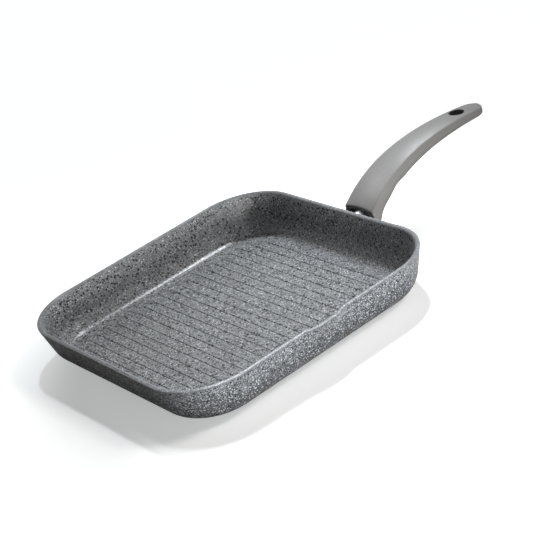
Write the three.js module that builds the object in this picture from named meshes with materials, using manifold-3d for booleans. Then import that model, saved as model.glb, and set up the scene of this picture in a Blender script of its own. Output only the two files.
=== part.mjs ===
// Square grill pan: a cast, ribbed pan with one pour spout, and an arched handle that one screw holds on a stud.
// Millimetres, +Z up. +X runs along the handle. The origin is the middle of the underside.

import * as THREE from "three";
import { mergeVertices } from "three/addons/utils/BufferGeometryUtils.js";
import Module from "manifold-3d";

const { degToRad, lerp, smoothstep } = THREE.MathUtils;
const wasm = await Module();
wasm.setup();

// Pan: plan and wall section
const PAN_SIDE = 280;
const PAN_HEIGHT = 40.5;
const CORNER_RADIUS = 57;
const WALL_DRAFT = degToRad(16.5);
const WALL_THICKNESS = 3.8;
const FLOOR_THICKNESS = 5;
const HEEL_RADIUS = 23;
const COVE_RADIUS = 18;
const RIM_ROUND = 0.6;

// Pour spout, in the middle of the wall on the -Y side
const SPOUT_WIDTH = 46;
const SPOUT_FLANK = 14;
const SPOUT_DEPTH = 15;
const SPOUT_BOW = 3.6;
const SPOUT_DIP = 0.6;

// Ribs across the floor, from one side wall to the other
const RIB_PITCH = 10.45;
const RIB_WIDTH = 3.6;
const RIB_HEIGHT = 1;
const RIB_MARGIN = 6;
const RIB_FULLNESS = 3;
const RIB_RUNOUT = 7;
const RIB_END_SHARE = 0.15;
const RIB_ROOT = 0.6;

// Handle: its top line in the middle plane, then its section
const HANDLE_STANDOFF = 17.5;
const HANDLE_LENGTH = 165.6;
const HANDLE_BELOW_RIM = 7.1;
const HANDLE_RISE = 27;
const HANDLE_FOOT_ANGLE = degToRad(38.4);
const HANDLE_FOOT_PULL = 22;
const HANDLE_TIP_ANGLE = degToRad(8.9);
const HANDLE_TIP_PULL = 110;
const HANDLE_FOOT_WIDTH = 38.6;
const HANDLE_TIP_WIDTH = 21.6;
const HANDLE_SWELL = 0.6;
const HANDLE_CROWN = 0.11;
const HANDLE_CANT = degToRad(15);
const HANDLE_FOOT_SIDE = 7.4;
const HANDLE_TIP_SIDE = 4.8;
const HANDLE_SIDE_EASE = 2.2;
const HANDLE_FOOT_BELLY = 11;
const HANDLE_TIP_BELLY = 4.2;
const HANDLE_TIP_ROUND = 14;
const HANDLE_TIP_SQUARENESS = 3;
const HANDLE_TIP_LIFT = 0.7;
const FOOT_TURN = 40;
const FOOT_FLARE = 4.5;
const FOOT_FLARE_LENGTH = 14;
const FOOT_WAIST = 1.2;
const FOOT_WAIST_FROM_END = 33;
const FOOT_WAIST_LENGTH = 11;

// Open end of the handle and its hang hole
const END_WALL = 3;
const END_DEPTH = 4.5;
const HOLE_DIAMETER = 14.4;
const HOLE_ROUND = 1.3;
const HOLE_FROM_TIP = 27.6;

// Stud on the wall, with a flat underside that keeps the handle from turning
const STUD_DIAMETER = 15;
const STUD_FLAT = 5.5;
const STUD_BELOW_TOP = 12;
const STUD_TILT = degToRad(6);
const STUD_SEAT = 5.5;
const FLANGE_DIAMETER = 21;
const FLANGE_THICKNESS = 2.2;

// Screw and washers, along the stud's axis
const SCREW_DIAMETER = 5;
const SCREW_GRIP = 11;
const HEAD_DIAMETER = 9.2;
const HEAD_HEIGHT = 3.2;
const DRIVE_LENGTH = 5;
const DRIVE_WIDTH = 1.1;
const DRIVE_DEPTH = 1.7;
const WEB_THICKNESS = 3.2;
const RECESS_LENGTH = 32;
const FLAT_WASHER_DIAMETER = 10.6;
const FLAT_WASHER_THICKNESS = 1;
const SPRING_WASHER_DIAMETER = 9;
const SPRING_WASHER_THICKNESS = 1.3;
const SPRING_WASHER_SPLIT = 1;

// Clearances
const SEAT_GAP = 0.3;
const STUD_CLEARANCE = 0.4;
const SCREW_CLEARANCE = 0.3;
const TAP_RUNOUT = 1.5;
const RECESS_CLEARANCE = 0.5;
const OVERCUT = 2;

// Facets
const CORNER_STEPS = 12;
const ARC_STEPS = 6;
const RIM_STEPS = 3;
const RIB_STEPS = 6;
const RUNOUT_STEPS = 2;
const SPOUT_STEPS = 14;
const SPOUT_RINGS = 4;
const CROWN_STEPS = 8;
const BELLY_STEPS = 10;
const HANDLE_STEPS = 24;
const TIP_STEPS = 7;
const TIP_END_ANGLE = degToRad(84);
const ROUND_STEPS = 28;
const HALVINGS = 40;
const MERGE_TOLERANCE = 1e-4;

const panHalf = PAN_SIDE / 2;
const draftRun = Math.tan(WALL_DRAFT);
const draftSlant = Math.cos(WALL_DRAFT);
const rimLand = WALL_THICKNESS * draftSlant - 2 * RIM_ROUND;
const rimOuterCrest = PAN_HEIGHT - RIM_ROUND - rimLand * Math.sin(WALL_DRAFT);
const rimEdge = RIM_ROUND * (1 - 1 / draftSlant) - (PAN_HEIGHT - rimOuterCrest) * draftRun;
const heelInset = rimEdge + (PAN_HEIGHT - HEEL_RADIUS) * draftRun + HEEL_RADIUS / draftSlant;
const coveHeight = FLOOR_THICKNESS + COVE_RADIUS;
const coveInset = WALL_THICKNESS + rimEdge + (PAN_HEIGHT - coveHeight) * draftRun + COVE_RADIUS / draftSlant;

const handleEnd = panHalf + HANDLE_STANDOFF;
const handleTip = handleEnd + HANDLE_LENGTH;
const footTop = PAN_HEIGHT - HANDLE_BELOW_RIM;
const studHeight = footTop - STUD_BELOW_TOP;
const webFace = STUD_SEAT + WEB_THICKNESS;
const flatWasherSeat = webFace + SEAT_GAP;
const springWasherSeat = flatWasherSeat + FLAT_WASHER_THICKNESS + SEAT_GAP;
const headSeat = springWasherSeat + SPRING_WASHER_THICKNESS + SEAT_GAP;
const screwEnd = STUD_SEAT - SEAT_GAP - SCREW_GRIP;

// Solids and geometries

function toSolid(geometry) {
  const bare = new THREE.BufferGeometry();
  bare.setAttribute("position", geometry.getAttribute("position"));
  bare.setIndex(geometry.getIndex());
  const merged = mergeVertices(bare, MERGE_TOLERANCE);
  const index = merged.getIndex().array;
  const triangles = [];
  for (let i = 0; i < index.length; i += 3) {
    const [a, b, c] = index.slice(i, i + 3);
    if (a !== b && b !== c && c !== a) triangles.push(a, b, c);
  }
  return new wasm.Manifold(new wasm.Mesh({
    numProp: 3,
    vertProperties: Float32Array.from(merged.getAttribute("position").array),
    triVerts: Uint32Array.from(triangles),
  }));
}

function toGeometry(solid) {
  const mesh = solid.getMesh();
  const geometry = new THREE.BufferGeometry();
  geometry.setAttribute("position", new THREE.BufferAttribute(Float32Array.from(mesh.vertProperties), 3));
  geometry.setIndex(Array.from(mesh.triVerts));
  geometry.computeVertexNormals();
  return geometry;
}

function signedVolume(points, triangles) {
  let volume = 0;
  for (const [a, b, c] of triangles) {
    volume += points[a].dot(new THREE.Vector3().crossVectors(points[b], points[c])) / 6;
  }
  return volume;
}

// Skins a row of rings that have as many points each, and closes both ends.
function loft(rings) {
  const count = rings[0].length;
  const points = rings.flat();
  const triangles = [];
  for (let ring = 0; ring < rings.length - 1; ring += 1) {
    for (let i = 0; i < count; i += 1) {
      const here = ring * count + i;
      const next = ring * count + (i + 1) % count;
      triangles.push([here, next, next + count], [here, next + count, here + count]);
    }
  }
  const last = (rings.length - 1) * count;
  for (let i = 1; i < count - 1; i += 1) {
    triangles.push([0, i + 1, i], [last, last + i, last + i + 1]);
  }
  const outward = signedVolume(points, triangles) > 0;
  const geometry = new THREE.BufferGeometry().setFromPoints(points);
  geometry.setIndex(triangles.flatMap(([a, b, c]) => (outward ? [a, b, c] : [a, c, b])));
  return toSolid(geometry);
}

function arc(from, to, steps, place) {
  return Array.from({ length: steps + 1 }, (_, i) => place(lerp(from, to, i / steps)));
}

// Pan

function planRing(inset, height) {
  const radius = Math.max(CORNER_RADIUS - inset, RIM_ROUND);
  const centre = panHalf - inset - radius;
  const ring = [];
  for (let corner = 0; corner < 4; corner += 1) {
    const start = corner * Math.PI / 2;
    const middle = start + Math.PI / 4;
    const x = centre * Math.sign(Math.cos(middle));
    const y = centre * Math.sign(Math.sin(middle));
    ring.push(...arc(start, start + Math.PI / 2, CORNER_STEPS,
      (angle) => new THREE.Vector3(x + radius * Math.cos(angle), y + radius * Math.sin(angle), height)));
    if (corner === 2) {
      ring.push(...arc(-SPOUT_WIDTH / 2, SPOUT_WIDTH / 2, SPOUT_STEPS,
        (along) => new THREE.Vector3(along, inset - panHalf, height)));
    }
  }
  return ring;
}

// Bows the rim outward and down in the middle of the -Y wall.
function withSpout(ring) {
  return ring.map((point) => {
    const flat = SPOUT_WIDTH / 2 - SPOUT_FLANK;
    const across = 1 - smoothstep(Math.abs(point.x), flat, SPOUT_WIDTH / 2);
    const reach = smoothstep(point.z, PAN_HEIGHT - SPOUT_DEPTH, PAN_HEIGHT);
    const share = point.y < 0 ? across * reach : 0;
    return point.clone().add(new THREE.Vector3(0, -SPOUT_BOW * share, -SPOUT_DIP * share));
  });
}

function heelProfile(grow) {
  const radius = HEEL_RADIUS + grow;
  return arc(Math.PI / 2, WALL_DRAFT, ARC_STEPS,
    (angle) => [heelInset - radius * Math.cos(angle), HEEL_RADIUS - radius * Math.sin(angle)]);
}

// The rim's land lies square to the flared wall, so its inner edge is the higher one.
function rimProfile() {
  const innerCrest = PAN_HEIGHT - RIM_ROUND;
  const inner = RIM_ROUND + rimLand * draftSlant;
  const outerRound = arc(-WALL_DRAFT, Math.PI / 2 - WALL_DRAFT, RIM_STEPS,
    (angle) => [RIM_ROUND - RIM_ROUND * Math.cos(angle), rimOuterCrest + RIM_ROUND * Math.sin(angle)]);
  const innerRound = arc(Math.PI / 2 - WALL_DRAFT, Math.PI - WALL_DRAFT, RIM_STEPS,
    (angle) => [inner - RIM_ROUND * Math.cos(angle), innerCrest + RIM_ROUND * Math.sin(angle)]);
  return [...outerRound, ...innerRound];
}

function wallProfile(thickness) {
  const below = Array.from({ length: SPOUT_RINGS }, (_, i) => SPOUT_DEPTH * (1 - i / SPOUT_RINGS));
  return below.map((drop) => [thickness + rimEdge + drop * draftRun, PAN_HEIGHT - drop]);
}

function coveProfile() {
  return arc(WALL_DRAFT, Math.PI / 2, ARC_STEPS,
    (angle) => [coveInset - COVE_RADIUS * Math.cos(angle), coveHeight - COVE_RADIUS * Math.sin(angle)]);
}

// The outside of the pan without its hollow, grown all round, to which the stud's foot is shaped.
function outerForm(grow) {
  const top = [rimEdge - grow / draftSlant, PAN_HEIGHT];
  return loft([...heelProfile(grow), top].map(([inset, height]) => planRing(inset, height)));
}

function rib(x) {
  const field = panHalf - coveInset - RIB_MARGIN;
  const corner = Math.max(CORNER_RADIUS - coveInset - RIB_MARGIN, RIB_WIDTH);
  const past = Math.max(Math.abs(x) - (field - corner), 0);
  const reach = field - corner + Math.sqrt(Math.max(corner ** 2 - past ** 2, 0));
  const half = RIB_WIDTH / 2;
  const section = (y, height) => {
    const dome = arc(-1, 1, RIB_STEPS, (side) => [side, height * (1 - Math.abs(side) ** RIB_FULLNESS)]);
    const outline = [[-1, -RIB_ROOT], ...dome, [1, -RIB_ROOT]];
    return outline.map(([side, rise]) => new THREE.Vector3(x + side * half, y, FLOOR_THICKNESS + rise));
  };
  const runouts = arc(0, Math.PI / 2, RUNOUT_STEPS,
    (angle) => [reach - RIB_RUNOUT * (1 - Math.cos(angle)), lerp(RIB_END_SHARE, 1, Math.sin(angle))]);
  const start = runouts.map(([y, share]) => section(-y, RIB_HEIGHT * share));
  const end = runouts.map(([y, share]) => section(y, RIB_HEIGHT * share)).reverse();
  return loft([...start, ...end]);
}

function panBody() {
  const profile = [
    ...heelProfile(0),
    ...wallProfile(0),
    ...rimProfile(),
    ...wallProfile(WALL_THICKNESS).reverse(),
    ...coveProfile(),
  ];
  let pan = loft(profile.map(([inset, height]) => withSpout(planRing(inset, height))));
  const side = Math.floor((panHalf - coveInset - RIB_MARGIN) / RIB_PITCH);
  for (let i = -side; i <= side; i += 1) {
    pan = pan.add(rib(i * RIB_PITCH));
  }
  return pan;
}

// Handle

const footPoint = new THREE.Vector2(handleEnd, footTop);
const tipPoint = new THREE.Vector2(handleTip, footTop + HANDLE_RISE);
const topLine = new THREE.CubicBezierCurve(
  footPoint,
  footPoint.clone().add(new THREE.Vector2(HANDLE_FOOT_PULL, 0).rotateAround(new THREE.Vector2(), HANDLE_FOOT_ANGLE)),
  tipPoint.clone().add(new THREE.Vector2(-HANDLE_TIP_PULL, 0).rotateAround(new THREE.Vector2(), -HANDLE_TIP_ANGLE)),
  tipPoint,
);

function shareAt(x) {
  let low = 0;
  let high = 1;
  for (let i = 0; i < HALVINGS; i += 1) {
    const middle = (low + high) / 2;
    if (topLine.getPoint(middle).x < x) low = middle;
    else high = middle;
  }
  return (low + high) / 2;
}

// The section at a place along the handle: upright at the open end, square to the top line further out.
function handleFrame(x) {
  const share = shareAt(x);
  const point = topLine.getPoint(share);
  const tangent = topLine.getTangent(share);
  const slope = Math.atan2(tangent.y, tangent.x);
  const lean = slope * smoothstep(x, handleEnd, handleEnd + FOOT_TURN);
  const along = (x - handleEnd) / HANDLE_LENGTH;
  const flare = FOOT_FLARE * (1 - smoothstep(x, handleEnd, handleEnd + FOOT_FLARE_LENGTH));
  const fromWaist = Math.abs(x - handleEnd - FOOT_WAIST_FROM_END);
  const waist = FOOT_WAIST * (1 - smoothstep(fromWaist, 0, FOOT_WAIST_LENGTH));
  const half = lerp(HANDLE_FOOT_WIDTH, HANDLE_TIP_WIDTH, along) / 2 + 2 * HANDLE_SWELL * along * (1 - along);
  return {
    point,
    slope,
    down: new THREE.Vector2(Math.sin(lean), -Math.cos(lean)),
    stretch: 1 / Math.cos(slope - lean),
    half,
    crown: HANDLE_CROWN * half,
    side: lerp(HANDLE_FOOT_SIDE, HANDLE_TIP_SIDE, along ** HANDLE_SIDE_EASE) + flare - waist,
    belly: lerp(HANDLE_FOOT_BELLY, HANDLE_TIP_BELLY, along),
  };
}

function handleRing(x, narrow, wall) {
  const { point, down, stretch, half, crown, side, belly } = handleFrame(x);
  const top = half - wall;
  const flank = side - wall;
  const edge = top + flank * Math.tan(HANDLE_CANT);
  const place = (y, depth) => {
    const drop = (depth + wall) * stretch * (1 - HANDLE_TIP_LIFT * (1 - narrow));
    return new THREE.Vector3(point.x + down.x * drop, y * narrow, point.y + down.y * drop);
  };
  const crowned = arc(1, -1, CROWN_STEPS, (k) => place(top * k, crown * k * k));
  const rounded = arc(Math.PI, 0, BELLY_STEPS,
    (angle) => place(edge * Math.cos(angle), crown + flank + (belly - wall) * Math.sin(angle)));
  return [...crowned, ...rounded];
}

function handleBlank() {
  const bodyEnd = handleTip - HANDLE_TIP_ROUND;
  const body = arc(handleEnd, bodyEnd, HANDLE_STEPS, (x) => handleRing(x, 1, 0));
  const power = 2 / HANDLE_TIP_SQUARENESS;
  const tip = arc(0, TIP_END_ANGLE, TIP_STEPS,
    (angle) => handleRing(bodyEnd + HANDLE_TIP_ROUND * Math.sin(angle) ** power, Math.cos(angle) ** power, 0));
  return loft([...body, ...tip.slice(1)]);
}

function endHollow() {
  const mouth = handleRing(handleEnd, 1, END_WALL);
  const outside = mouth.map((point) => point.clone().setX(handleEnd - OVERCUT));
  return loft([outside, mouth, handleRing(handleEnd + END_DEPTH, 1, END_WALL)]);
}

function hangHole() {
  const { point, slope, crown, side, belly } = handleFrame(handleTip - HOLE_FROM_TIP);
  const radius = HOLE_DIAMETER / 2;
  const mouth = radius + HOLE_ROUND;
  const depth = crown + side + belly;
  const upper = arc(Math.PI / 2, Math.PI, RIM_STEPS,
    (angle) => new THREE.Vector2(mouth + HOLE_ROUND * Math.cos(angle), HOLE_ROUND * (Math.sin(angle) - 1)));
  const lower = upper.map((p) => new THREE.Vector2(p.x, -depth - p.y));
  const spool = new THREE.LatheGeometry([
    new THREE.Vector2(0, -depth - OVERCUT),
    new THREE.Vector2(mouth, -depth - OVERCUT),
    ...lower,
    ...upper.reverse(),
    new THREE.Vector2(mouth, OVERCUT),
    new THREE.Vector2(0, OVERCUT),
  ], ROUND_STEPS);
  spool.rotateX(Math.PI / 2);
  spool.rotateY(-slope);
  spool.translate(point.x, 0, point.y);
  return toSolid(spool);
}

// Fixing: its pieces lie along +X of a tilted group, from the middle of the handle's open end

const fixing = new THREE.Group();
fixing.position.set(handleEnd, 0, studHeight);
fixing.rotation.y = -STUD_TILT;
fixing.updateMatrix();

function inPan(geometry) {
  return geometry.clone().applyMatrix4(fixing.matrix);
}

function rod(diameter, from, to) {
  const geometry = new THREE.CylinderGeometry(diameter / 2, diameter / 2, to - from, ROUND_STEPS);
  geometry.rotateZ(-Math.PI / 2);
  geometry.translate((from + to) / 2, 0, 0);
  return geometry;
}

// A round bar with a flat underside.
function flatBar(grow, from, to) {
  const radius = STUD_DIAMETER / 2 + grow;
  const flat = Math.asin(Math.min((STUD_FLAT + grow) / radius, 1));
  const shape = new THREE.Shape();
  shape.absarc(0, 0, radius, -flat, Math.PI + flat, false);
  shape.closePath();
  const settings = { depth: to - from, bevelEnabled: false, curveSegments: ROUND_STEPS };
  const geometry = new THREE.ExtrudeGeometry(shape, settings);
  geometry.rotateX(Math.PI / 2);
  geometry.rotateZ(Math.PI / 2);
  geometry.translate(from, 0, 0);
  return geometry;
}

function handleStud() {
  const wallInset = (PAN_HEIGHT - studHeight) * draftRun;
  const inside = -HANDLE_STANDOFF - wallInset - FLANGE_DIAMETER / 2;
  const bar = toSolid(inPan(flatBar(0, inside, STUD_SEAT - SEAT_GAP)));
  const flange = toSolid(inPan(rod(FLANGE_DIAMETER, inside, 0))).intersect(outerForm(SEAT_GAP + FLANGE_THICKNESS));
  const tapped = toSolid(inPan(rod(SCREW_DIAMETER + 2 * SCREW_CLEARANCE, screwEnd - TAP_RUNOUT, STUD_SEAT)));
  return bar.add(flange).subtract(outerForm(SEAT_GAP)).subtract(tapped);
}

function handleBody() {
  const recess = FLAT_WASHER_DIAMETER + 2 * RECESS_CLEARANCE;
  const cuts = [
    flatBar(STUD_CLEARANCE, -OVERCUT, STUD_SEAT),
    rod(SCREW_DIAMETER + 2 * SCREW_CLEARANCE, STUD_SEAT - OVERCUT, webFace + OVERCUT),
    rod(recess, webFace, webFace + RECESS_LENGTH),
  ].map((geometry) => toSolid(inPan(geometry)));
  return [endHollow(), hangHole(), ...cuts].reduce((solid, cut) => solid.subtract(cut), handleBlank());
}

function ringShape(outer, bore, split) {
  const gap = split / outer;
  const shape = new THREE.Shape();
  shape.absarc(0, 0, outer / 2, gap, 2 * Math.PI - gap, false);
  if (split > 0) {
    shape.absarc(0, 0, bore / 2, 2 * Math.PI - gap, gap, true);
    shape.closePath();
  } else {
    shape.holes.push(new THREE.Path().absarc(0, 0, bore / 2, 0, 2 * Math.PI, true));
  }
  return shape;
}

function washer(outer, thickness, seat, split) {
  const shape = ringShape(outer, SCREW_DIAMETER + 2 * SCREW_CLEARANCE, split);
  const settings = { depth: thickness, bevelEnabled: false, curveSegments: ROUND_STEPS };
  const geometry = new THREE.ExtrudeGeometry(shape, settings);
  geometry.rotateY(Math.PI / 2);
  geometry.translate(seat, 0, 0);
  return toSolid(geometry);
}

function screw() {
  const shank = SCREW_DIAMETER / 2;
  const head = HEAD_DIAMETER / 2;
  const crest = headSeat + HEAD_HEIGHT;
  const dome = arc(0, Math.PI / 2, RIM_STEPS, (angle) => new THREE.Vector2(
    head - HEAD_HEIGHT / 2 * (1 - Math.cos(angle)),
    crest - HEAD_HEIGHT / 2 * (1 - Math.sin(angle)),
  ));
  const geometry = new THREE.LatheGeometry([
    new THREE.Vector2(0, screwEnd),
    new THREE.Vector2(shank, screwEnd),
    new THREE.Vector2(shank, headSeat),
    new THREE.Vector2(head, headSeat),
    ...dome,
    new THREE.Vector2(0, crest),
  ], ROUND_STEPS);
  geometry.rotateZ(-Math.PI / 2);
  const slots = [[DRIVE_LENGTH, DRIVE_WIDTH], [DRIVE_WIDTH, DRIVE_LENGTH]].map(([wide, tall]) => {
    const slot = new THREE.BoxGeometry(2 * DRIVE_DEPTH, wide, tall);
    slot.translate(crest, 0, 0);
    return toSolid(slot);
  });
  return toSolid(geometry).subtract(slots[0]).subtract(slots[1]);
}

// Assembly

function piece(name, solid, material) {
  const mesh = new THREE.Mesh(toGeometry(solid), material);
  mesh.name = name;
  return mesh;
}

const coating = new THREE.MeshStandardMaterial({ color: 0x87888a, roughness: 0.55, metalness: 0.1 });
const softTouch = new THREE.MeshStandardMaterial({ color: 0x949694, roughness: 0.5, metalness: 0 });
const aluminium = new THREE.MeshStandardMaterial({ color: 0xd5d6d8, roughness: 0.3, metalness: 1 });
const steel = new THREE.MeshStandardMaterial({ color: 0xb9babd, roughness: 0.25, metalness: 1 });

fixing.add(
  piece("handle_screw", screw(), steel),
  piece("spring_washer", washer(SPRING_WASHER_DIAMETER, SPRING_WASHER_THICKNESS, springWasherSeat,
    SPRING_WASHER_SPLIT), steel),
  piece("flat_washer", washer(FLAT_WASHER_DIAMETER, FLAT_WASHER_THICKNESS, flatWasherSeat, 0), steel),
);

const grillPan = new THREE.Group();
grillPan.add(
  piece("pan_body", panBody(), coating),
  piece("handle", handleBody(), softTouch),
  piece("handle_stud", handleStud(), aluminium),
  fixing,
);

export default grillPan;
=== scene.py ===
import math

import bmesh
import bpy
from mathutils import Matrix, Vector


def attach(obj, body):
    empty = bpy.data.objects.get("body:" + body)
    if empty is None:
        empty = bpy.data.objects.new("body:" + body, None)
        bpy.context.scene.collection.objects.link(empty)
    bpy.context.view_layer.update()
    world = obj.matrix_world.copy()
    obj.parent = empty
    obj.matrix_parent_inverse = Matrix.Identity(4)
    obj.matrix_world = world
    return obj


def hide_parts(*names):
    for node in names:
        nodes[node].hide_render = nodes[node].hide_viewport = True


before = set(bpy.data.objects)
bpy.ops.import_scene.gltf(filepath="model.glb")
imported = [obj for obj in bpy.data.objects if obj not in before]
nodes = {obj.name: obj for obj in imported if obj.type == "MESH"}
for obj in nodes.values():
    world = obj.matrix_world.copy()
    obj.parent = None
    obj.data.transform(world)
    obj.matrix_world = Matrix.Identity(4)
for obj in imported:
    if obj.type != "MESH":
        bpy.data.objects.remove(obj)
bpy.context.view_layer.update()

# Sizes in millimetres: those of the solids, with a thicker rim, an eased cove and lower ribs

MM = 0.001
PAN_SIDE = 280
PAN_HEIGHT = 40.5
CORNER_RADIUS = 57
WALL_DRAFT = math.radians(16.5)
WALL_THICKNESS = 4.4
FLOOR_THICKNESS = 5
HEEL_RADIUS = 23
COVE_RADIUS = 18
COVE_EASE = 60
COVE_EASE_ANGLE = math.radians(10)
RIM_OUTER_ROUND = 0.5
RIM_INNER_ROUND = 2.4
RIM_SHRINK = 0.05

SPOUT_WIDTH = 46
SPOUT_FLANK = 14
SPOUT_DEPTH = 15
SPOUT_BOW = 3.6
SPOUT_DIP = 0.6

RIB_PITCH = 10.45
RIB_FOOT = 3.0
RIB_TOP = 0.72
RIB_HEIGHT = 0.5
RIB_MARGIN = 6
RIB_RUNOUT = 7

HANDLE_STANDOFF = 17.5
HANDLE_LENGTH = 165.6
HANDLE_BELOW_RIM = 7.1
HANDLE_RISE = 26.99
HANDLE_FOOT_ANGLE = math.radians(38.4)
HANDLE_FOOT_PULL = 22
HANDLE_TIP_ANGLE = math.radians(8.9)
HANDLE_TIP_PULL = 110
HANDLE_FOOT_WIDTH = 38.6
HANDLE_TIP_WIDTH = 21.6
HANDLE_SWELL = 0.6
HANDLE_CROWN = 0.11
HANDLE_CANT = math.radians(15)
HANDLE_FOOT_SIDE = 7.4
HANDLE_TIP_SIDE = 4.8
HANDLE_SIDE_EASE = 2.2
HANDLE_FOOT_BELLY = 11
HANDLE_TIP_BELLY = 4.2
HANDLE_TIP_ROUND = 14
HANDLE_TIP_SQUARENESS = 3
HANDLE_TIP_LIFT = 0.7
FOOT_TURN = 40
FOOT_FLARE = 4.5
FOOT_FLARE_LENGTH = 14
FOOT_WAIST = 1.2
FOOT_WAIST_FROM_END = 33
FOOT_WAIST_LENGTH = 11
CREASE_ROUND = 0.9
END_ROUND = 0.6

END_WALL = 3
END_DEPTH = 4.5
HOLE_DIAMETER = 14.4
HOLE_ROUND = 1.3
HOLE_FROM_TIP = 27.6

STUD_DIAMETER = 15
STUD_FLAT = 5.5
STUD_BELOW_TOP = 12
STUD_TILT = math.radians(6)
STUD_SEAT = 5.5
STUD_CLEARANCE = 0.4
SCREW_HOLE = 5.6
WEB_THICKNESS = 3.2
RECESS_DIAMETER = 11.6
RECESS_LENGTH = 32
OVERCUT = 2

pan_half = PAN_SIDE / 2 - RIM_SHRINK
draft_run = math.tan(WALL_DRAFT)
draft_slant = math.cos(WALL_DRAFT)
wall_square = WALL_THICKNESS * draft_slant
draft_sine = math.sin(WALL_DRAFT)
land_drop = RIM_INNER_ROUND * (1 - draft_slant)
land_height = PAN_HEIGHT - land_drop - (wall_square - RIM_INNER_ROUND) * draft_sine
land_inset = RIM_OUTER_ROUND * (1 - draft_slant - draft_sine)
rim_edge = land_inset - (PAN_HEIGHT - land_height) * draft_run
heel_inset = rim_edge + (PAN_HEIGHT - HEEL_RADIUS) * draft_run + HEEL_RADIUS / draft_slant
cove_drop = PAN_HEIGHT - FLOOR_THICKNESS - COVE_RADIUS
cove_inset = WALL_THICKNESS + rim_edge + cove_drop * draft_run + COVE_RADIUS / draft_slant
handle_end = PAN_SIDE / 2 + HANDLE_STANDOFF
handle_tip = handle_end + HANDLE_LENGTH
foot_top = PAN_HEIGHT - HANDLE_BELOW_RIM


# Helpers

def lerp(a, b, t):
    return a + (b - a) * t


def smoothstep(x, low, high):
    t = min(max((x - low) / (high - low), 0), 1)
    return t * t * (3 - 2 * t)


def steps(start, stop, count):
    return [lerp(start, stop, i / count) for i in range(count + 1)]


def new_object(name, mesh, materials=()):
    obj = bpy.data.objects.new(name, mesh)
    bpy.context.scene.collection.objects.link(obj)
    for material in materials:
        mesh.materials.append(material)
    return obj


def mesh_from(name, points, faces):
    mesh = bpy.data.meshes.new(name)
    mesh.from_pydata([tuple(c * MM for c in p) for p in points], [], faces)
    mesh.update()
    return mesh


def loft(name, rings):
    """Skins rings that have as many points each and closes both ends with one face."""
    count = len(rings[0])
    points = [p for ring in rings for p in ring]
    faces = []
    for r in range(len(rings) - 1):
        for i in range(count):
            a, b = r * count + i, r * count + (i + 1) % count
            faces.append((a, b, b + count, a + count))
    last = (len(rings) - 1) * count
    faces.append(tuple(range(count - 1, -1, -1)))
    faces.append(tuple(range(last, last + count)))
    return mesh_from(name, points, faces)


def face_outward(mesh):
    work = bmesh.new()
    work.from_mesh(mesh)
    bmesh.ops.recalc_face_normals(work, faces=work.faces)
    work.to_mesh(mesh)
    work.free()


def smooth(mesh, degrees):
    mesh.shade_smooth()
    mesh.set_sharp_from_angle(angle=math.radians(degrees))


# Pan

CORNER_STEPS = 28
SIDE_STEPS = 6
SPOUT_STEPS = 46
ARC_STEPS = 16
WALL_STEPS = 12
RIM_STEPS = 6
RIB_STEPS = 14
RIB_ROWS = 10
RUNOUT_STEPS = 7
PAN_SHARP_ANGLE = 40


def plan_ring(inset, height):
    radius = CORNER_RADIUS - inset
    centre = pan_half - inset - radius
    half = pan_half - inset
    ring = []
    for corner in range(4):
        start = corner * math.pi / 2
        cx = centre * (1, -1, -1, 1)[corner]
        cy = centre * (1, 1, -1, -1)[corner]
        for angle in steps(start, start + math.pi / 2, CORNER_STEPS):
            ring.append((cx + radius * math.cos(angle), cy + radius * math.sin(angle), height))
        if corner == 2:
            spout = SPOUT_WIDTH / 2
            along = steps(-centre, -spout, SIDE_STEPS)[1:-1]
            along += steps(-spout, spout, SPOUT_STEPS)
            along += steps(spout, centre, SIDE_STEPS)[1:-1]
            ring += [(x, -half, height) for x in along]
        else:
            turn = start + math.pi / 2
            for s in steps(centre, -centre, 2 * SIDE_STEPS)[1:-1]:
                x = half * math.cos(turn) + s * math.sin(turn)
                y = half * math.sin(turn) - s * math.cos(turn)
                ring.append((x, y, height))
    return ring


def with_spout(ring):
    flat = SPOUT_WIDTH / 2 - SPOUT_FLANK
    moved = []
    for x, y, z in ring:
        across = 1 - smoothstep(abs(x), flat, SPOUT_WIDTH / 2)
        share = across * smoothstep(z, PAN_HEIGHT - SPOUT_DEPTH, PAN_HEIGHT) if y < 0 else 0
        moved.append((x, y - SPOUT_BOW * share, z - SPOUT_DIP * share))
    return moved


def cove_curve():
    """(inset, height) from the wall down to the floor, on a radius that opens out as it meets the floor."""
    inset = height = 0
    curve = [(0, 0)]
    turns = steps(0, math.pi / 2 - WALL_DRAFT, 4 * ARC_STEPS)
    for a, b in zip(turns, turns[1:]):
        middle = (a + b) / 2
        radius = lerp(COVE_EASE, COVE_RADIUS, smoothstep(middle, 0, COVE_EASE_ANGLE))
        inset -= radius * math.cos(middle) * (b - a)
        height += radius * math.sin(middle) * (b - a)
        curve.append((inset, height))
    top = FLOOR_THICKNESS + height
    foot = WALL_THICKNESS + rim_edge + (PAN_HEIGHT - top) * draft_run - inset
    return [(foot + i, FLOOR_THICKNESS + h) for i, h in curve[::-2]]


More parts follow.
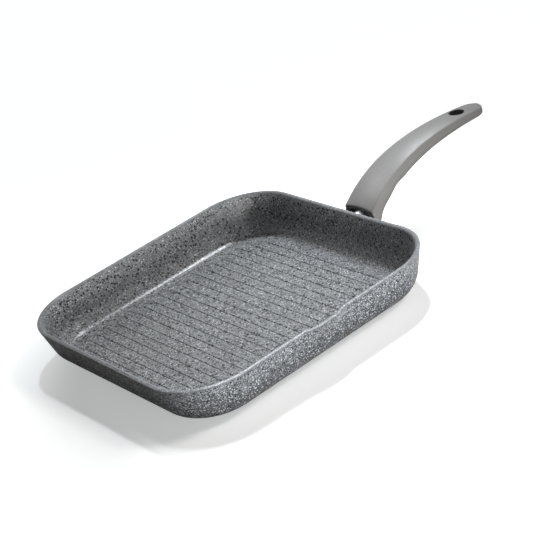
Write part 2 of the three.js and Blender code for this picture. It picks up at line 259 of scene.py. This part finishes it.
def pan_profile():
    """(inset, height) from the edge of the base, up the outside, over the rim and down to the floor."""
    outer_crest = land_height + RIM_OUTER_ROUND * (draft_sine - draft_slant)
    inner_crest = PAN_HEIGHT - RIM_INNER_ROUND
    wall_foot = HEEL_RADIUS * (1 - draft_sine)
    cove = cove_curve()
    inner = land_inset + (wall_square - RIM_INNER_ROUND) * draft_slant + RIM_INNER_ROUND * draft_sine
    profile = [(heel_inset - HEEL_RADIUS * math.cos(a), HEEL_RADIUS * (1 - math.sin(a)))
               for a in steps(math.pi / 2, WALL_DRAFT, ARC_STEPS)]
    outer_top = outer_crest - RIM_OUTER_ROUND * draft_sine
    profile += [(rim_edge + (PAN_HEIGHT - z) * draft_run, z)
                for z in steps(wall_foot, outer_top, WALL_STEPS)[1:-1]]
    land_angle = math.pi / 2 - WALL_DRAFT
    profile += [(RIM_OUTER_ROUND - RIM_OUTER_ROUND * math.cos(a), outer_crest + RIM_OUTER_ROUND * math.sin(a))
                for a in steps(-WALL_DRAFT, land_angle, RIM_STEPS)]
    profile += [(inner - RIM_INNER_ROUND * math.cos(a), inner_crest + RIM_INNER_ROUND * math.sin(a))
                for a in steps(land_angle, math.pi - WALL_DRAFT, 2 * RIM_STEPS)]
    inner_top = inner_crest + RIM_INNER_ROUND * draft_sine
    profile += [(WALL_THICKNESS + rim_edge + (PAN_HEIGHT - z) * draft_run, z)
                for z in steps(inner_top, cove[0][1], WALL_STEPS)[1:-1]]
    return profile + cove


def rib_grid(x0):
    """Rows of points of one rib from end to end, level with the floor all round."""
    field = pan_half - cove_inset - RIB_MARGIN
    corner = CORNER_RADIUS - cove_inset - RIB_MARGIN
    past = max(abs(x0) - (field - corner), 0)
    reach = field - corner + math.sqrt(corner ** 2 - past ** 2)
    ends = steps(0, RIB_RUNOUT, RUNOUT_STEPS)
    along = [-reach + e for e in ends]
    along += steps(-reach + RIB_RUNOUT, reach - RIB_RUNOUT, RIB_ROWS)[1:-1]
    along += [reach - e for e in reversed(ends)]
    rows = []
    for y in along:
        share = smoothstep(reach - abs(y), 0, RIB_RUNOUT)
        row = []
        for s in steps(-1, 1, RIB_STEPS):
            rise = RIB_HEIGHT * share * (1 - smoothstep(abs(s), RIB_TOP, 1))
            row.append((x0 + s * RIB_FOOT / 2, y, FLOOR_THICKNESS + rise))
        rows.append(row)
    return rows


def pan_mesh():
    rings = [with_spout(plan_ring(inset, height)) for inset, height in pan_profile()]
    work = bmesh.new()
    loops = [[work.verts.new(Vector(p) * MM) for p in ring] for ring in rings]
    count = len(loops[0])
    crest = max(range(len(rings)), key=lambda k: rings[k][0][2])
    for k, (low, high) in enumerate(zip(loops, loops[1:])):
        for i in range(count):
            j = (i + 1) % count
            work.faces.new((low[i], low[j], high[j], high[i])).material_index = int(k >= crest)
    work.faces.new(list(reversed(loops[0])))
    floor_edges = [work.edges.get((loops[-1][i], loops[-1][(i + 1) % count])) for i in range(count)]
    side = int((pan_half - cove_inset - RIB_MARGIN) / RIB_PITCH)
    for k in range(-side, side + 1):
        grid = [[work.verts.new(Vector(p) * MM) for p in row] for row in rib_grid(k * RIB_PITCH)]
        for low, high in zip(grid, grid[1:]):
            for i in range(RIB_STEPS):
                work.faces.new((low[i], low[i + 1], high[i + 1], high[i])).material_index = 1
        outline = grid[0] + [row[-1] for row in grid[1:]]
        outline += grid[-1][-2::-1] + [row[0] for row in grid[-2:0:-1]]
        for a, b in zip(outline, outline[1:] + outline[:1]):
            floor_edges.append(work.edges.get((a, b)))
    filled = bmesh.ops.triangle_fill(work, edges=floor_edges, use_beauty=True, normal=(0, 0, 1))
    for piece in filled["geom"]:
        if isinstance(piece, bmesh.types.BMFace):
            piece.material_index = 1
    bmesh.ops.recalc_face_normals(work, faces=work.faces)
    mesh = bpy.data.meshes.new("pan_shell")
    work.to_mesh(mesh)
    work.free()
    smooth(mesh, PAN_SHARP_ANGLE)
    return mesh


# Handle

STATIONS = 96
TIP_STATIONS = 18
CROWN_STEPS = 24
CREASE_STEPS = 5
SIDE_ROWS = 5
BELLY_STEPS = 30
END_STEPS = 4
HOLE_STEPS = 8
HOLE_SEGMENTS = 64
ROD_SEGMENTS = 48
HALVINGS = 40
TIP_END_ANGLE = math.radians(84)
WELD_GAP = 0.002
HANDLE_SHARP_ANGLE = 35


def top_line(t):
    foot = Vector((handle_end, foot_top))
    tip = Vector((handle_tip, foot_top + HANDLE_RISE))
    lead = foot + HANDLE_FOOT_PULL * Vector((math.cos(HANDLE_FOOT_ANGLE), math.sin(HANDLE_FOOT_ANGLE)))
    trail = tip - HANDLE_TIP_PULL * Vector((math.cos(HANDLE_TIP_ANGLE), -math.sin(HANDLE_TIP_ANGLE)))
    u = 1 - t
    point = u ** 3 * foot + 3 * u * u * t * lead + 3 * u * t * t * trail + t ** 3 * tip
    tangent = u * u * (lead - foot) + 2 * u * t * (trail - lead) + t * t * (tip - trail)
    return point, math.atan2(tangent.y, tangent.x)


def share_at(x):
    low, high = 0.0, 1.0
    for _ in range(HALVINGS):
        middle = (low + high) / 2
        if top_line(middle)[0].x < x:
            low = middle
        else:
            high = middle
    return (low + high) / 2


def handle_frame(x):
    point, slope = top_line(share_at(x))
    lean = slope * smoothstep(x, handle_end, handle_end + FOOT_TURN)
    along = (x - handle_end) / HANDLE_LENGTH
    half = lerp(HANDLE_FOOT_WIDTH, HANDLE_TIP_WIDTH, along) / 2 + 2 * HANDLE_SWELL * along * (1 - along)
    side = lerp(HANDLE_FOOT_SIDE, HANDLE_TIP_SIDE, max(along, 0) ** HANDLE_SIDE_EASE)
    side += FOOT_FLARE * (1 - smoothstep(x, handle_end, handle_end + FOOT_FLARE_LENGTH))
    side -= FOOT_WAIST * (1 - smoothstep(abs(x - handle_end - FOOT_WAIST_FROM_END), 0, FOOT_WAIST_LENGTH))
    belly = lerp(HANDLE_FOOT_BELLY, HANDLE_TIP_BELLY, along)
    return point, slope, lean, half, side, belly


def handle_section(half, side, belly, crown, wall):
    """(y, depth) round the section, with the crease along each side slightly rounded."""
    top = half - wall
    flank = side - wall
    edge = top + flank * math.tan(HANDLE_CANT)
    soft = min(CREASE_ROUND, flank / 2)
    inset = 1 - soft / top
    crowned = [(top * k, crown * k * k) for k in steps(inset, -inset, CROWN_STEPS)]
    corner = Vector((-top, crown))
    before = Vector(crowned[-1])
    down = Vector((-math.tan(HANDLE_CANT), 1)).normalized()
    after = corner + soft * down
    turned = []
    for t in steps(0, 1, CREASE_STEPS)[1:]:
        turned.append(tuple((1 - t) ** 2 * before + 2 * t * (1 - t) * corner + t * t * after))
    foot = Vector((-edge, crown + flank))
    flanked = [tuple(after.lerp(foot, t)) for t in steps(0, 1, SIDE_ROWS)[1:]]
    rounded = [(edge * math.cos(a), crown + flank + (belly - wall) * math.sin(a))
               for a in steps(math.pi, 0, BELLY_STEPS)[1:]]
    mirrored = [(-y, d) for y, d in reversed(turned + flanked[:-1])]
    return crowned + turned + flanked + rounded + mirrored


def handle_ring(x, narrow=1.0, wall=0.0):
    point, slope, lean, half, side, belly = handle_frame(x)
    stretch = 1 / math.cos(slope - lean)
    lift = 1 - HANDLE_TIP_LIFT * (1 - narrow)
    ring = []
    for y, depth in handle_section(half, side, belly, HANDLE_CROWN * half, wall):
        drop = (depth + wall) * stretch * lift
        ring.append((point.x + math.sin(lean) * drop, y * narrow, point.y - math.cos(lean) * drop))
    return ring


def handle_rings():
    body_end = handle_tip - HANDLE_TIP_ROUND
    rings = []
    for angle in steps(0, math.pi / 2, END_STEPS)[:-1]:
        edge = handle_ring(handle_end, 1.0, END_ROUND * (1 - math.sin(angle)))
        shift = END_ROUND * (1 - math.cos(angle))
        rings.append([(x + shift, y, z + shift * math.tan(HANDLE_FOOT_ANGLE)) for x, y, z in edge])
    rings += [handle_ring(x) for x in steps(handle_end + END_ROUND, body_end, STATIONS)]
    power = 2 / HANDLE_TIP_SQUARENESS
    for angle in steps(0, TIP_END_ANGLE, TIP_STATIONS)[1:]:
        reach = HANDLE_TIP_ROUND * math.sin(angle) ** power
        rings.append(handle_ring(body_end + reach, math.cos(angle) ** power))
    return rings


def lathe(name, profile, segments):
    """Turns (radius, height) pairs about Z. The first and last lie on the axis."""
    points = [(0, 0, profile[0][1])]
    for radius, height in profile[1:-1]:
        for i in range(segments):
            angle = 2 * math.pi * i / segments
            points.append((radius * math.cos(angle), radius * math.sin(angle), height))
    points.append((0, 0, profile[-1][1]))
    rows = len(profile) - 2
    faces = []
    for i in range(segments):
        j = (i + 1) % segments
        faces.append((0, 1 + j, 1 + i))
        for r in range(rows - 1):
            a, b = 1 + r * segments + i, 1 + r * segments + j
            faces.append((a, b, b + segments, a + segments))
        top = 1 + (rows - 1) * segments
        faces.append((len(points) - 1, top + i, top + j))
    return mesh_from(name, points, faces)


stud_height = foot_top - STUD_BELOW_TOP
fixing = Matrix.Translation(Vector((handle_end, 0, stud_height)) * MM) @ Matrix.Rotation(-STUD_TILT, 4, "Y")
along_x = fixing @ Matrix.Rotation(math.pi / 2, 4, "Y")


def rod(name, diameter, start, stop):
    radius = diameter / 2
    mesh = lathe(name, [(0, start), (radius, start), (radius, stop), (0, stop)], ROD_SEGMENTS)
    mesh.transform(along_x)
    return mesh


def flat_bar(name, grow, start, stop):
    radius = STUD_DIAMETER / 2 + grow
    flat = math.asin((STUD_FLAT + grow) / radius)
    outline = [(radius * math.cos(a), radius * math.sin(a))
               for a in steps(-flat, math.pi + flat, ROD_SEGMENTS)]
    mesh = loft(name, [[(x, y, z) for y, z in outline] for x in (start, stop)])
    mesh.transform(fixing)
    return mesh


def hang_hole_cutter():
    point, slope, lean, half, side, belly = handle_frame(handle_tip - HOLE_FROM_TIP)
    radius = HOLE_DIAMETER / 2
    mouth = radius + HOLE_ROUND
    depth = HANDLE_CROWN * half + side + belly
    upper = [(mouth + HOLE_ROUND * math.cos(a), HOLE_ROUND * (math.sin(a) - 1))
             for a in steps(math.pi / 2, math.pi, HOLE_STEPS)]
    lower = [(r, -depth - h) for r, h in upper]
    profile = [(0, -depth - OVERCUT), (mouth, -depth - OVERCUT)] + lower
    profile += upper[::-1] + [(mouth, OVERCUT), (0, OVERCUT)]
    mesh = lathe("hole_cutter", profile, HOLE_SEGMENTS)
    mesh.transform(Matrix.Translation(Vector((point.x, 0, point.y)) * MM) @ Matrix.Rotation(-slope, 4, "Y"))
    return mesh


def end_hollow_cutter():
    mouth = handle_ring(handle_end, 1.0, END_WALL)
    outside = [(handle_end - OVERCUT, y, z) for _, y, z in mouth]
    return loft("hollow_cutter", [outside, mouth, handle_ring(handle_end + END_DEPTH, 1.0, END_WALL)])


def cut(obj, cutters):
    """Takes the cutters out of the object. The faces that a cutter leaves keep its material."""
    helpers = []
    for mesh, material in cutters:
        face_outward(mesh)
        helper = new_object(mesh.name, mesh, [material])
        helpers.append(helper)
        modifier = obj.modifiers.new(mesh.name, "BOOLEAN")
        modifier.operation = "DIFFERENCE"
        modifier.solver = "EXACT"
        modifier.material_mode = "TRANSFER"
        modifier.object = helper
    graph = bpy.context.evaluated_depsgraph_get()
    result = bpy.data.meshes.new_from_object(obj.evaluated_get(graph))
    obj.modifiers.clear()
    old = obj.data
    obj.data = result
    bpy.data.meshes.remove(old)
    for helper in helpers:
        bpy.data.objects.remove(helper)


def weld(mesh):
    """Joins the doubled points that cutting leaves, and with them the faces that have no area."""
    work = bmesh.new()
    work.from_mesh(mesh)
    bmesh.ops.remove_doubles(work, verts=work.verts, dist=WELD_GAP * MM)
    bmesh.ops.dissolve_degenerate(work, edges=work.edges, dist=WELD_GAP * MM)
    work.to_mesh(mesh)
    work.free()


def handle_piece(skin, core):
    mesh = loft("handle_grip", handle_rings())
    face_outward(mesh)
    obj = new_object("handle_grip", mesh, [skin, core])
    end_face = (handle_end + END_ROUND) * MM
    for face in mesh.polygons:
        if all(mesh.vertices[v].co.x < end_face for v in face.vertices) and len(face.vertices) > 4:
            face.material_index = 1
    web = STUD_SEAT + WEB_THICKNESS
    cut(obj, [
        (end_hollow_cutter(), core),
        (hang_hole_cutter(), core),
        (flat_bar("pocket_cutter", STUD_CLEARANCE, -OVERCUT, STUD_SEAT), core),
        (rod("screw_hole_cutter", SCREW_HOLE, STUD_SEAT - OVERCUT, web + OVERCUT), core),
        (rod("recess_cutter", RECESS_DIAMETER, web, web + RECESS_LENGTH), core),
    ])
    weld(obj.data)
    smooth(obj.data, HANDLE_SHARP_ANGLE)
    return obj


# Materials

NOISE_LOW = 0.3
NOISE_HIGH = 0.7
FLECK_OUTER_BLUR = 0.06
FLECK_INNER_BLUR = 0.08
WHITE_FLECK_TONE = 0.85
BLACK_FLECK_TONE = 0.006
CHIP_SPACING = 0.6
CHIP_RELIEF = 0.15
GRAIN_PER_MM = 0.9
# Painted shade: a near-black mix, strongest just above the base and gone by the rim
PAINTED_SHADE_TONE = 0.01
PAINTED_SHADE_HEIGHT = 40.0
BASE_EDGE = 0.5
BASE_SHADE_SHARE = 0.5
RIM_LOW = 38.2
RIM_BLEND = 0.5
RIM_TONE = 0.24
RIM_SHARE = 0.6
RIM_SMOOTHER = 0.03
RIM_RELIEF = 0.3
COVE_LOW = (5.5, 5.7)
COVE_HIGH = (7.0, 9.0)
COVE_SMOOTHER = 0.07
COATING_ROUGH = (0.43, 0.33)
COATING_SPECULAR = 0.3
COATING_RELIEF = 0.035
LACQUER_TONES = (0.215, 0.275)
LACQUER_WARMTHS = (0.008, 0.006)
LACQUER_ROUGH = (0.42, 0.5)
LACQUER_SPECULAR = 0.5
LACQUER_RELIEF = 0.012
MOULDING_TONES = (0.008, 0.016)
MOULDING_ROUGH = (0.5, 0.62)
MOULDING_RELIEF = 0.02
METAL_HAZE_TONE = 0.9
METAL_WARMTH = 0.004
METAL_RELIEF = 0.003


class Nodes:
    """Short ways to add and join the nodes of one material."""

    def __init__(self, name):
        self.material = bpy.data.materials.new(name)
        self.material.use_nodes = True
        self.tree = self.material.node_tree
        self.tree.nodes.clear()
        self.output = self.tree.nodes.new("ShaderNodeOutputMaterial")
        self.shader = self.tree.nodes.new("ShaderNodeBsdfPrincipled")
        self.tree.links.new(self.shader.outputs[0], self.output.inputs[0])

    def add(self, kind, inputs=(), **settings):
        node = self.tree.nodes.new("ShaderNode" + kind)
        for key, value in settings.items():
            setattr(node, key, value)
        for key, value in dict(inputs).items():
            self.put(node.inputs[key], value)
        return node

    def put(self, socket, value):
        if hasattr(value, "is_output"):
            self.tree.links.new(value, socket)
        else:
            socket.default_value = value

    def math(self, operation, a, b):
        return self.add("Math", {0: a, 1: b}, operation=operation).outputs[0]

    def span(self, value, low, high, to_low=0.0, to_high=1.0):
        """Maps a value from one span to another, with soft ends."""
        return self.add("MapRange", {0: value, 1: low, 2: high, 3: to_low, 4: to_high},
                        interpolation_type="SMOOTHSTEP").outputs[0]

    def mix(self, share, a, b):
        node = self.add("Mix", data_type="RGBA")
        self.put(node.inputs[0], share)
        self.put(node.inputs[6], a)
        self.put(node.inputs[7], b)
        return node.outputs[2]

    def millimetres(self):
        coordinates = self.add("TexCoord").outputs["Object"]
        return self.add("VectorMath", {0: coordinates, "Scale": 1000.0}, operation="SCALE").outputs[0]

    def noise(self, where, per_mm, detail=2.0, rough=0.5):
        inputs = {"Vector": where, "Scale": per_mm, "Detail": detail, "Roughness": rough}
        return self.add("TexNoise", inputs).outputs[0]

    def bump(self, height, depth_mm):
        return self.add("Bump", {"Strength": 1.0, "Distance": depth_mm * MM, "Height": height}).outputs[0]


def grey(level, warm=0.0):
    return (level * (1 + warm), level, level * (1 - warm), 1.0)


def flecks(n, where, spacing, smallest, largest, share):
    """Round flecks of several sizes in a share of the cells of a loose grid. Lengths are in millimetres."""
    cells = n.add("TexVoronoi", {"Vector": where, "Scale": 1 / spacing, "Randomness": 1.0})
    pick = n.add("SeparateColor", {0: cells.outputs["Color"]})
    radius = n.add("MapRange", {0: pick.outputs[0], 3: smallest / spacing, 4: largest / spacing}).outputs[0]
    inside = n.math("SUBTRACT", radius, cells.outputs["Distance"])
    fleck = n.span(inside, -FLECK_OUTER_BLUR / spacing, FLECK_INNER_BLUR / spacing)
    chosen = n.math("LESS_THAN", pick.outputs[1], share)
    return n.math("MULTIPLY", fleck, chosen)


def chips(n, where, spacing):
    """A chance value from 0 to 1 for each angular chip of a mosaic."""
    cells = n.add("TexVoronoi", {"Vector": where, "Scale": 1 / spacing, "Randomness": 1.0})
    return n.add("SeparateColor", {0: cells.outputs["Color"]}).outputs[0]


def shares(n, value, stops):
    """Colours a value in steps: each stop is (where it starts, colour)."""
    node = n.add("ValToRGB", {0: value})
    ramp = node.color_ramp
    ramp.interpolation = "CONSTANT"
    ramp.elements[0].position, ramp.elements[0].color = stops[0]
    ramp.elements[1].position, ramp.elements[1].color = stops[1]
    for position, colour in stops[2:]:
        ramp.elements.new(position).color = colour
    return node.outputs[0]


def stone_coating(name, tint, tones, white_flecks, black_flecks, painted_shade):
    """Grey non-stick coating: a fine mosaic of grey chips with larger white and black flecks.

    It is smoother on the rim and in the cove. Shade is painted into its colour: it grows darker towards the
    foot, where the heel faces down and away from the lamps."""
    n = Nodes(name)
    place = n.millimetres()
    height = n.add("SeparateXYZ", {0: place}).outputs[2]
    grain = n.noise(place, GRAIN_PER_MM, 2.0, 0.6)
    value = chips(n, place, CHIP_SPACING)
    colour = shares(n, value, [(at, grey(level, tint)) for at, level in tones])
    # Painted shade: darker towards the base, standing in for the shade under the heel
    off_base = n.span(height, 0.0, BASE_EDGE, BASE_SHADE_SHARE, 1.0)
    darker = n.math("MULTIPLY", n.span(height, 0.0, PAINTED_SHADE_HEIGHT, painted_shade, 0.0), off_base)
    colour = n.mix(darker, colour, grey(PAINTED_SHADE_TONE, tint))
    colour = n.mix(flecks(n, place, *white_flecks), colour, grey(WHITE_FLECK_TONE, tint))
    colour = n.mix(flecks(n, place, *black_flecks), colour, grey(BLACK_FLECK_TONE, tint))
    rim = n.span(height, RIM_LOW, RIM_LOW + RIM_BLEND)
    colour = n.mix(n.math("MULTIPLY", rim, RIM_SHARE), colour, grey(RIM_TONE, tint))
    n.put(n.shader.inputs["Base Color"], colour)
    rough = n.span(grain, NOISE_LOW, NOISE_HIGH, *COATING_ROUGH)
    cove = n.math("SUBTRACT", n.span(height, *COVE_LOW), n.span(height, *COVE_HIGH))
    smoother = n.math("ADD", n.math("MULTIPLY", rim, RIM_SMOOTHER), n.math("MULTIPLY", cove, COVE_SMOOTHER))
    n.put(n.shader.inputs["Roughness"], n.math("SUBTRACT", rough, smoother))
    n.shader.inputs["Specular IOR Level"].default_value = COATING_SPECULAR
    relief = n.math("ADD", grain, n.math("MULTIPLY", value, CHIP_RELIEF))
    relief = n.math("MULTIPLY", relief, n.span(rim, 0.0, 1.0, 1.0, RIM_RELIEF))
    n.put(n.shader.inputs["Normal"], n.bump(relief, COATING_RELIEF))
    return n.material


def soft_touch():
    """Grey soft-touch lacquer, with a fine sprayed grain."""
    n = Nodes("soft_touch_grey")
    place = n.millimetres()
    grain = n.span(n.noise(place, 1.6, 3.0, 0.65), NOISE_LOW, NOISE_HIGH)
    dark, light = (grey(tone, warmth) for tone, warmth in zip(LACQUER_TONES, LACQUER_WARMTHS))
    n.put(n.shader.inputs["Base Color"], n.mix(grain, dark, light))
    cloud = n.noise(place, 0.3, 2.0)
    n.put(n.shader.inputs["Roughness"], n.span(cloud, NOISE_LOW, NOISE_HIGH, *LACQUER_ROUGH))
    n.shader.inputs["Specular IOR Level"].default_value = LACQUER_SPECULAR
    n.put(n.shader.inputs["Normal"], n.bump(n.noise(place, 2.2, 2.0), LACQUER_RELIEF))
    return n.material


def black_moulding():
    """Bare black moulding, faintly mottled, where the lacquer doesn't reach."""
    n = Nodes("black_moulding")
    place = n.millimetres()
    mottle = n.span(n.noise(place, 0.8, 3.0), NOISE_LOW, NOISE_HIGH)
    dark, light = (grey(tone) for tone in MOULDING_TONES)
    n.put(n.shader.inputs["Base Color"], n.mix(mottle, dark, light))
    n.put(n.shader.inputs["Roughness"], n.span(mottle, 0.0, 1.0, *MOULDING_ROUGH))
    n.put(n.shader.inputs["Normal"], n.bump(n.noise(place, 2.0, 2.0), MOULDING_RELIEF))
    return n.material


def bare_metal(name, level, rough_low, rough_high, marks_per_mm):
    """Bright turned metal with fine marks round its axis."""
    n = Nodes(name)
    place = n.millimetres()
    inputs = {"Vector": place, "Scale": marks_per_mm, "Distortion": 0.15, "Detail": 1.0}
    marks = n.add("TexWave", inputs, bands_direction="X").outputs[1]
    haze = n.noise(place, 0.6, 3.0, 0.6)
    hazy, clean = grey(level * METAL_HAZE_TONE, METAL_WARMTH), grey(level, -METAL_WARMTH)
    n.put(n.shader.inputs["Base Color"], n.mix(haze, hazy, clean))
    n.shader.inputs["Metallic"].default_value = 1.0
    n.put(n.shader.inputs["Roughness"], n.span(haze, NOISE_LOW, NOISE_HIGH, rough_low, rough_high))
    n.put(n.shader.inputs["Normal"], n.bump(marks, METAL_RELIEF))
    return n.material


# Tones of the chips, each after the chance value at which it starts
INSIDE_TONES = [(0.0, 0.05), (0.12, 0.13), (0.3, 0.215), (0.55, 0.3), (0.8, 0.4), (0.95, 0.62)]
OUTSIDE_TONES = [(0.0, 0.045), (0.15, 0.13), (0.35, 0.225), (0.6, 0.315), (0.8, 0.42), (0.94, 0.72)]
# Flecks: spacing, smallest and largest radius, and the share of cells that hold one
INSIDE_WHITE = (2.1, 0.36, 0.72, 0.5)
INSIDE_BLACK = (2.5, 0.6, 1.2, 0.65)
OUTSIDE_WHITE = (1.6, 0.34, 0.64, 0.75)
OUTSIDE_BLACK = (2.0, 0.42, 0.88, 0.75)
INSIDE_TINT = -0.045
OUTSIDE_TINT = -0.065
# Share of painted shade at the base, inside and outside
INSIDE_PAINTED_SHADE = 0.0
OUTSIDE_PAINTED_SHADE = 0.78
inside_coating = stone_coating("stone_coating_inside", INSIDE_TINT, INSIDE_TONES,
                               INSIDE_WHITE, INSIDE_BLACK, INSIDE_PAINTED_SHADE)
outside_coating = stone_coating("stone_coating_outside", OUTSIDE_TINT, OUTSIDE_TONES,
                                OUTSIDE_WHITE, OUTSIDE_BLACK, OUTSIDE_PAINTED_SHADE)
lacquer = soft_touch()
moulding = black_moulding()
aluminium = bare_metal("turned_aluminium", level=0.86, rough_low=0.22, rough_high=0.34, marks_per_mm=2.4)
steel = bare_metal("zinc_steel", level=0.66, rough_low=0.26, rough_high=0.4, marks_per_mm=3.0)

# Pieces

pan = new_object("pan_shell", pan_mesh(), [outside_coating, inside_coating])
grip = handle_piece(lacquer, moulding)
for piece, node, slot in ((pan, "pan_body", "stone_coating"), (grip, "handle", "soft_touch")):
    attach(piece, "root")
    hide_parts(node)
for node, material in (("handle_stud", aluminium), ("handle_screw", steel),
                       ("spring_washer", steel), ("flat_washer", steel)):
    for material_slot in nodes[node].material_slots:
        material_slot.material = material

# Camera

CAMERA_PLACE = Vector((-628.953, -1130.969, 680.102)) * MM
CAMERA_RIGHT = Vector((0.75276727, -0.6031495, -0.26372737))
CAMERA_UP = Vector((0.47099215, 0.21358901, 0.85588908))
CAMERA_BACK = CAMERA_RIGHT.cross(CAMERA_UP)
CAMERA_LENS = 110.374
CAMERA_SENSOR = 36
CAMERA_REACH = 20
camera_data = bpy.data.cameras.new("camera")
camera_data.lens = CAMERA_LENS
camera_data.sensor_width = CAMERA_SENSOR
camera_data.clip_end = CAMERA_REACH
camera = bpy.data.objects.new("camera", camera_data)
turn = Matrix((CAMERA_RIGHT, CAMERA_UP, CAMERA_BACK)).transposed().to_4x4()
camera.matrix_world = Matrix.Translation(CAMERA_PLACE) @ turn
bpy.context.scene.collection.objects.link(camera)
bpy.context.scene.camera = camera

# Floor, backdrop and light

FLOOR_DROP = 0.0004
FLOOR_SIZE = 8.0
FLOOR_TONE = 0.9
FLOOR_BOUNCE_TONE = 0.1
FLOOR_BOUNCE_GLOW = 0.08
FLOOR_BOUNCE_WARMTH = 0.1
GLOW_COLOUR = (0.97, 1.0, 1.0, 1.0)
GLOW_MIDDLE = (-0.02, -0.05, 0.0)
GLOW_RADII = (0.15, 0.28)
GLOW_STRENGTHS = (0.4, 1.0)
ROOM_TONE = 0.02
ROOM_WARMTH = 0.2


def floor_material():
    """Pale to the camera and in reflections, where it takes the shadow, and dim as a source of light."""
    n = Nodes("pale_floor")
    n.tree.nodes.remove(n.shader)
    path = n.add("LightPath").outputs
    mirrored = n.math("MAXIMUM", path["Is Glossy Ray"], path["Is Transmission Ray"])
    lit = n.add("BsdfDiffuse", {"Color": grey(FLOOR_TONE)}).outputs[0]
    place = n.add("TexCoord").outputs["Object"]
    reach = n.add("VectorMath", {0: place, 1: GLOW_MIDDLE}, operation="DISTANCE").outputs["Value"]
    strength = n.span(reach, *GLOW_RADII, *GLOW_STRENGTHS)
    glow = n.add("Emission", {"Color": GLOW_COLOUR, "Strength": strength}).outputs[0]
    seen = n.add("AddShader", {0: lit, 1: glow}).outputs[0]
    pale = n.add("BsdfDiffuse", {"Color": grey(FLOOR_TONE)}).outputs[0]
    bounce = n.add("BsdfDiffuse", {"Color": grey(FLOOR_BOUNCE_TONE)}).outputs[0]
    warm = grey(1.0, FLOOR_BOUNCE_WARMTH)
    faint = n.add("Emission", {"Color": warm, "Strength": FLOOR_BOUNCE_GLOW}).outputs[0]
    dim = n.add("AddShader", {0: bounce, 1: faint}).outputs[0]
    unseen = n.add("MixShader", {0: mirrored, 1: dim, 2: pale}).outputs[0]
    faced = n.add("MixShader", {0: path["Is Camera Ray"], 1: unseen, 2: seen}).outputs[0]
    below = n.add("NewGeometry").outputs["Backfacing"]
    clear = n.add("BsdfTransparent").outputs[0]
    n.put(n.output.inputs[0], n.add("MixShader", {0: below, 1: faced, 2: clear}).outputs[0])
    return n.material


corner = FLOOR_SIZE / 2
floor_corners = ((-corner, -corner), (corner, -corner), (corner, corner), (-corner, corner))
floor_mesh = bpy.data.meshes.new("floor")
floor_mesh.from_pydata([(x, y, -FLOOR_DROP) for x, y in floor_corners], [], [(0, 1, 2, 3)])
floor = new_object("floor", floor_mesh, [floor_material()])

world = bpy.data.worlds.new("studio")
world.use_nodes = True
tree = world.node_tree
tree.nodes.clear()
path = tree.nodes.new("ShaderNodeLightPath")
room = tree.nodes.new("ShaderNodeBackground")
room.inputs["Color"].default_value = grey(ROOM_TONE, ROOM_WARMTH)
white = tree.nodes.new("ShaderNodeBackground")
white.inputs["Color"].default_value = grey(1.0)
choose = tree.nodes.new("ShaderNodeMixShader")
mirrored = tree.nodes.new("ShaderNodeMath")
mirrored.operation = "MAXIMUM"
shown = tree.nodes.new("ShaderNodeMath")
shown.operation = "MAXIMUM"
world_output = tree.nodes.new("ShaderNodeOutputWorld")
tree.links.new(path.outputs["Is Glossy Ray"], mirrored.inputs[0])
tree.links.new(path.outputs["Is Transmission Ray"], mirrored.inputs[1])
tree.links.new(mirrored.outputs[0], shown.inputs[0])
tree.links.new(path.outputs["Is Camera Ray"], shown.inputs[1])
tree.links.new(shown.outputs[0], choose.inputs[0])
tree.links.new(room.outputs[0], choose.inputs[1])
tree.links.new(white.outputs[0], choose.inputs[2])
tree.links.new(choose.outputs[0], world_output.inputs[0])
bpy.context.scene.world = world


def softbox(name, azimuth, elevation, distance, width, height, power, tint, spread, aim):
    """A soft lamp that faces its aim. Angles are in degrees and lengths in metres."""
    data = bpy.data.lights.new(name, "AREA")
    data.shape = "RECTANGLE"
    data.size = width
    data.size_y = height
    data.energy = power
    data.color = grey(1.0, tint)[:3]
    data.spread = math.radians(spread)
    light = bpy.data.objects.new(name, data)
    light.visible_camera = False
    around, up = math.radians(azimuth), math.radians(elevation)
    away = Vector((math.cos(up) * math.cos(around), math.cos(up) * math.sin(around), math.sin(up)))
    light.location = Vector(aim) + distance * away
    light.rotation_euler = away.to_track_quat("Z", "Y").to_euler()
    bpy.context.scene.collection.objects.link(light)


# Name, azimuth, elevation, distance, width, height, power, tint, spread and aim of each lamp
LAMPS = (
    ("key", 44, 53, 2.6, 0.2, 0.2, 0.4, -0.03, 15, (0.08, -0.03, 0.02)),
    ("edge", 57, 59, 0.5, 0.1, 0.1, 0.022, -0.03, 14, (-0.108, -0.137, 0.04)),
    ("side", 274, 2.5, 0.8, 0.5, 0.07, 0.88, 0.01, 100, (0, 0, 0.02)),
    ("front", 256, 2.5, 0.8, 0.4, 0.07, 0.54, 0.0, 90, (0, 0, 0.02)),
    ("low", 297, 13, 0.8, 0.2, 0.1, 0.018, 0.0, 30, (0.06, 0.12, 0.02)),
    ("grip", 104, 52, 1.0, 0.12, 0.12, 0.019, 0.0, 11, (0.2, 0, 0.047)),
    ("corner", 238, 9.5, 0.8, 0.02, 0.02, 0.0011, 0.0, 3.5, (0.109, 0.1275, 0.037)),
    ("fill", 325, 42, 1.4, 0.5, 0.5, 0.37, 0.03, 26, (-0.06, -0.05, 0.02)),
)
for lamp in LAMPS:
    softbox(*lamp)

bpy.context.scene.view_settings.view_transform = "Standard"
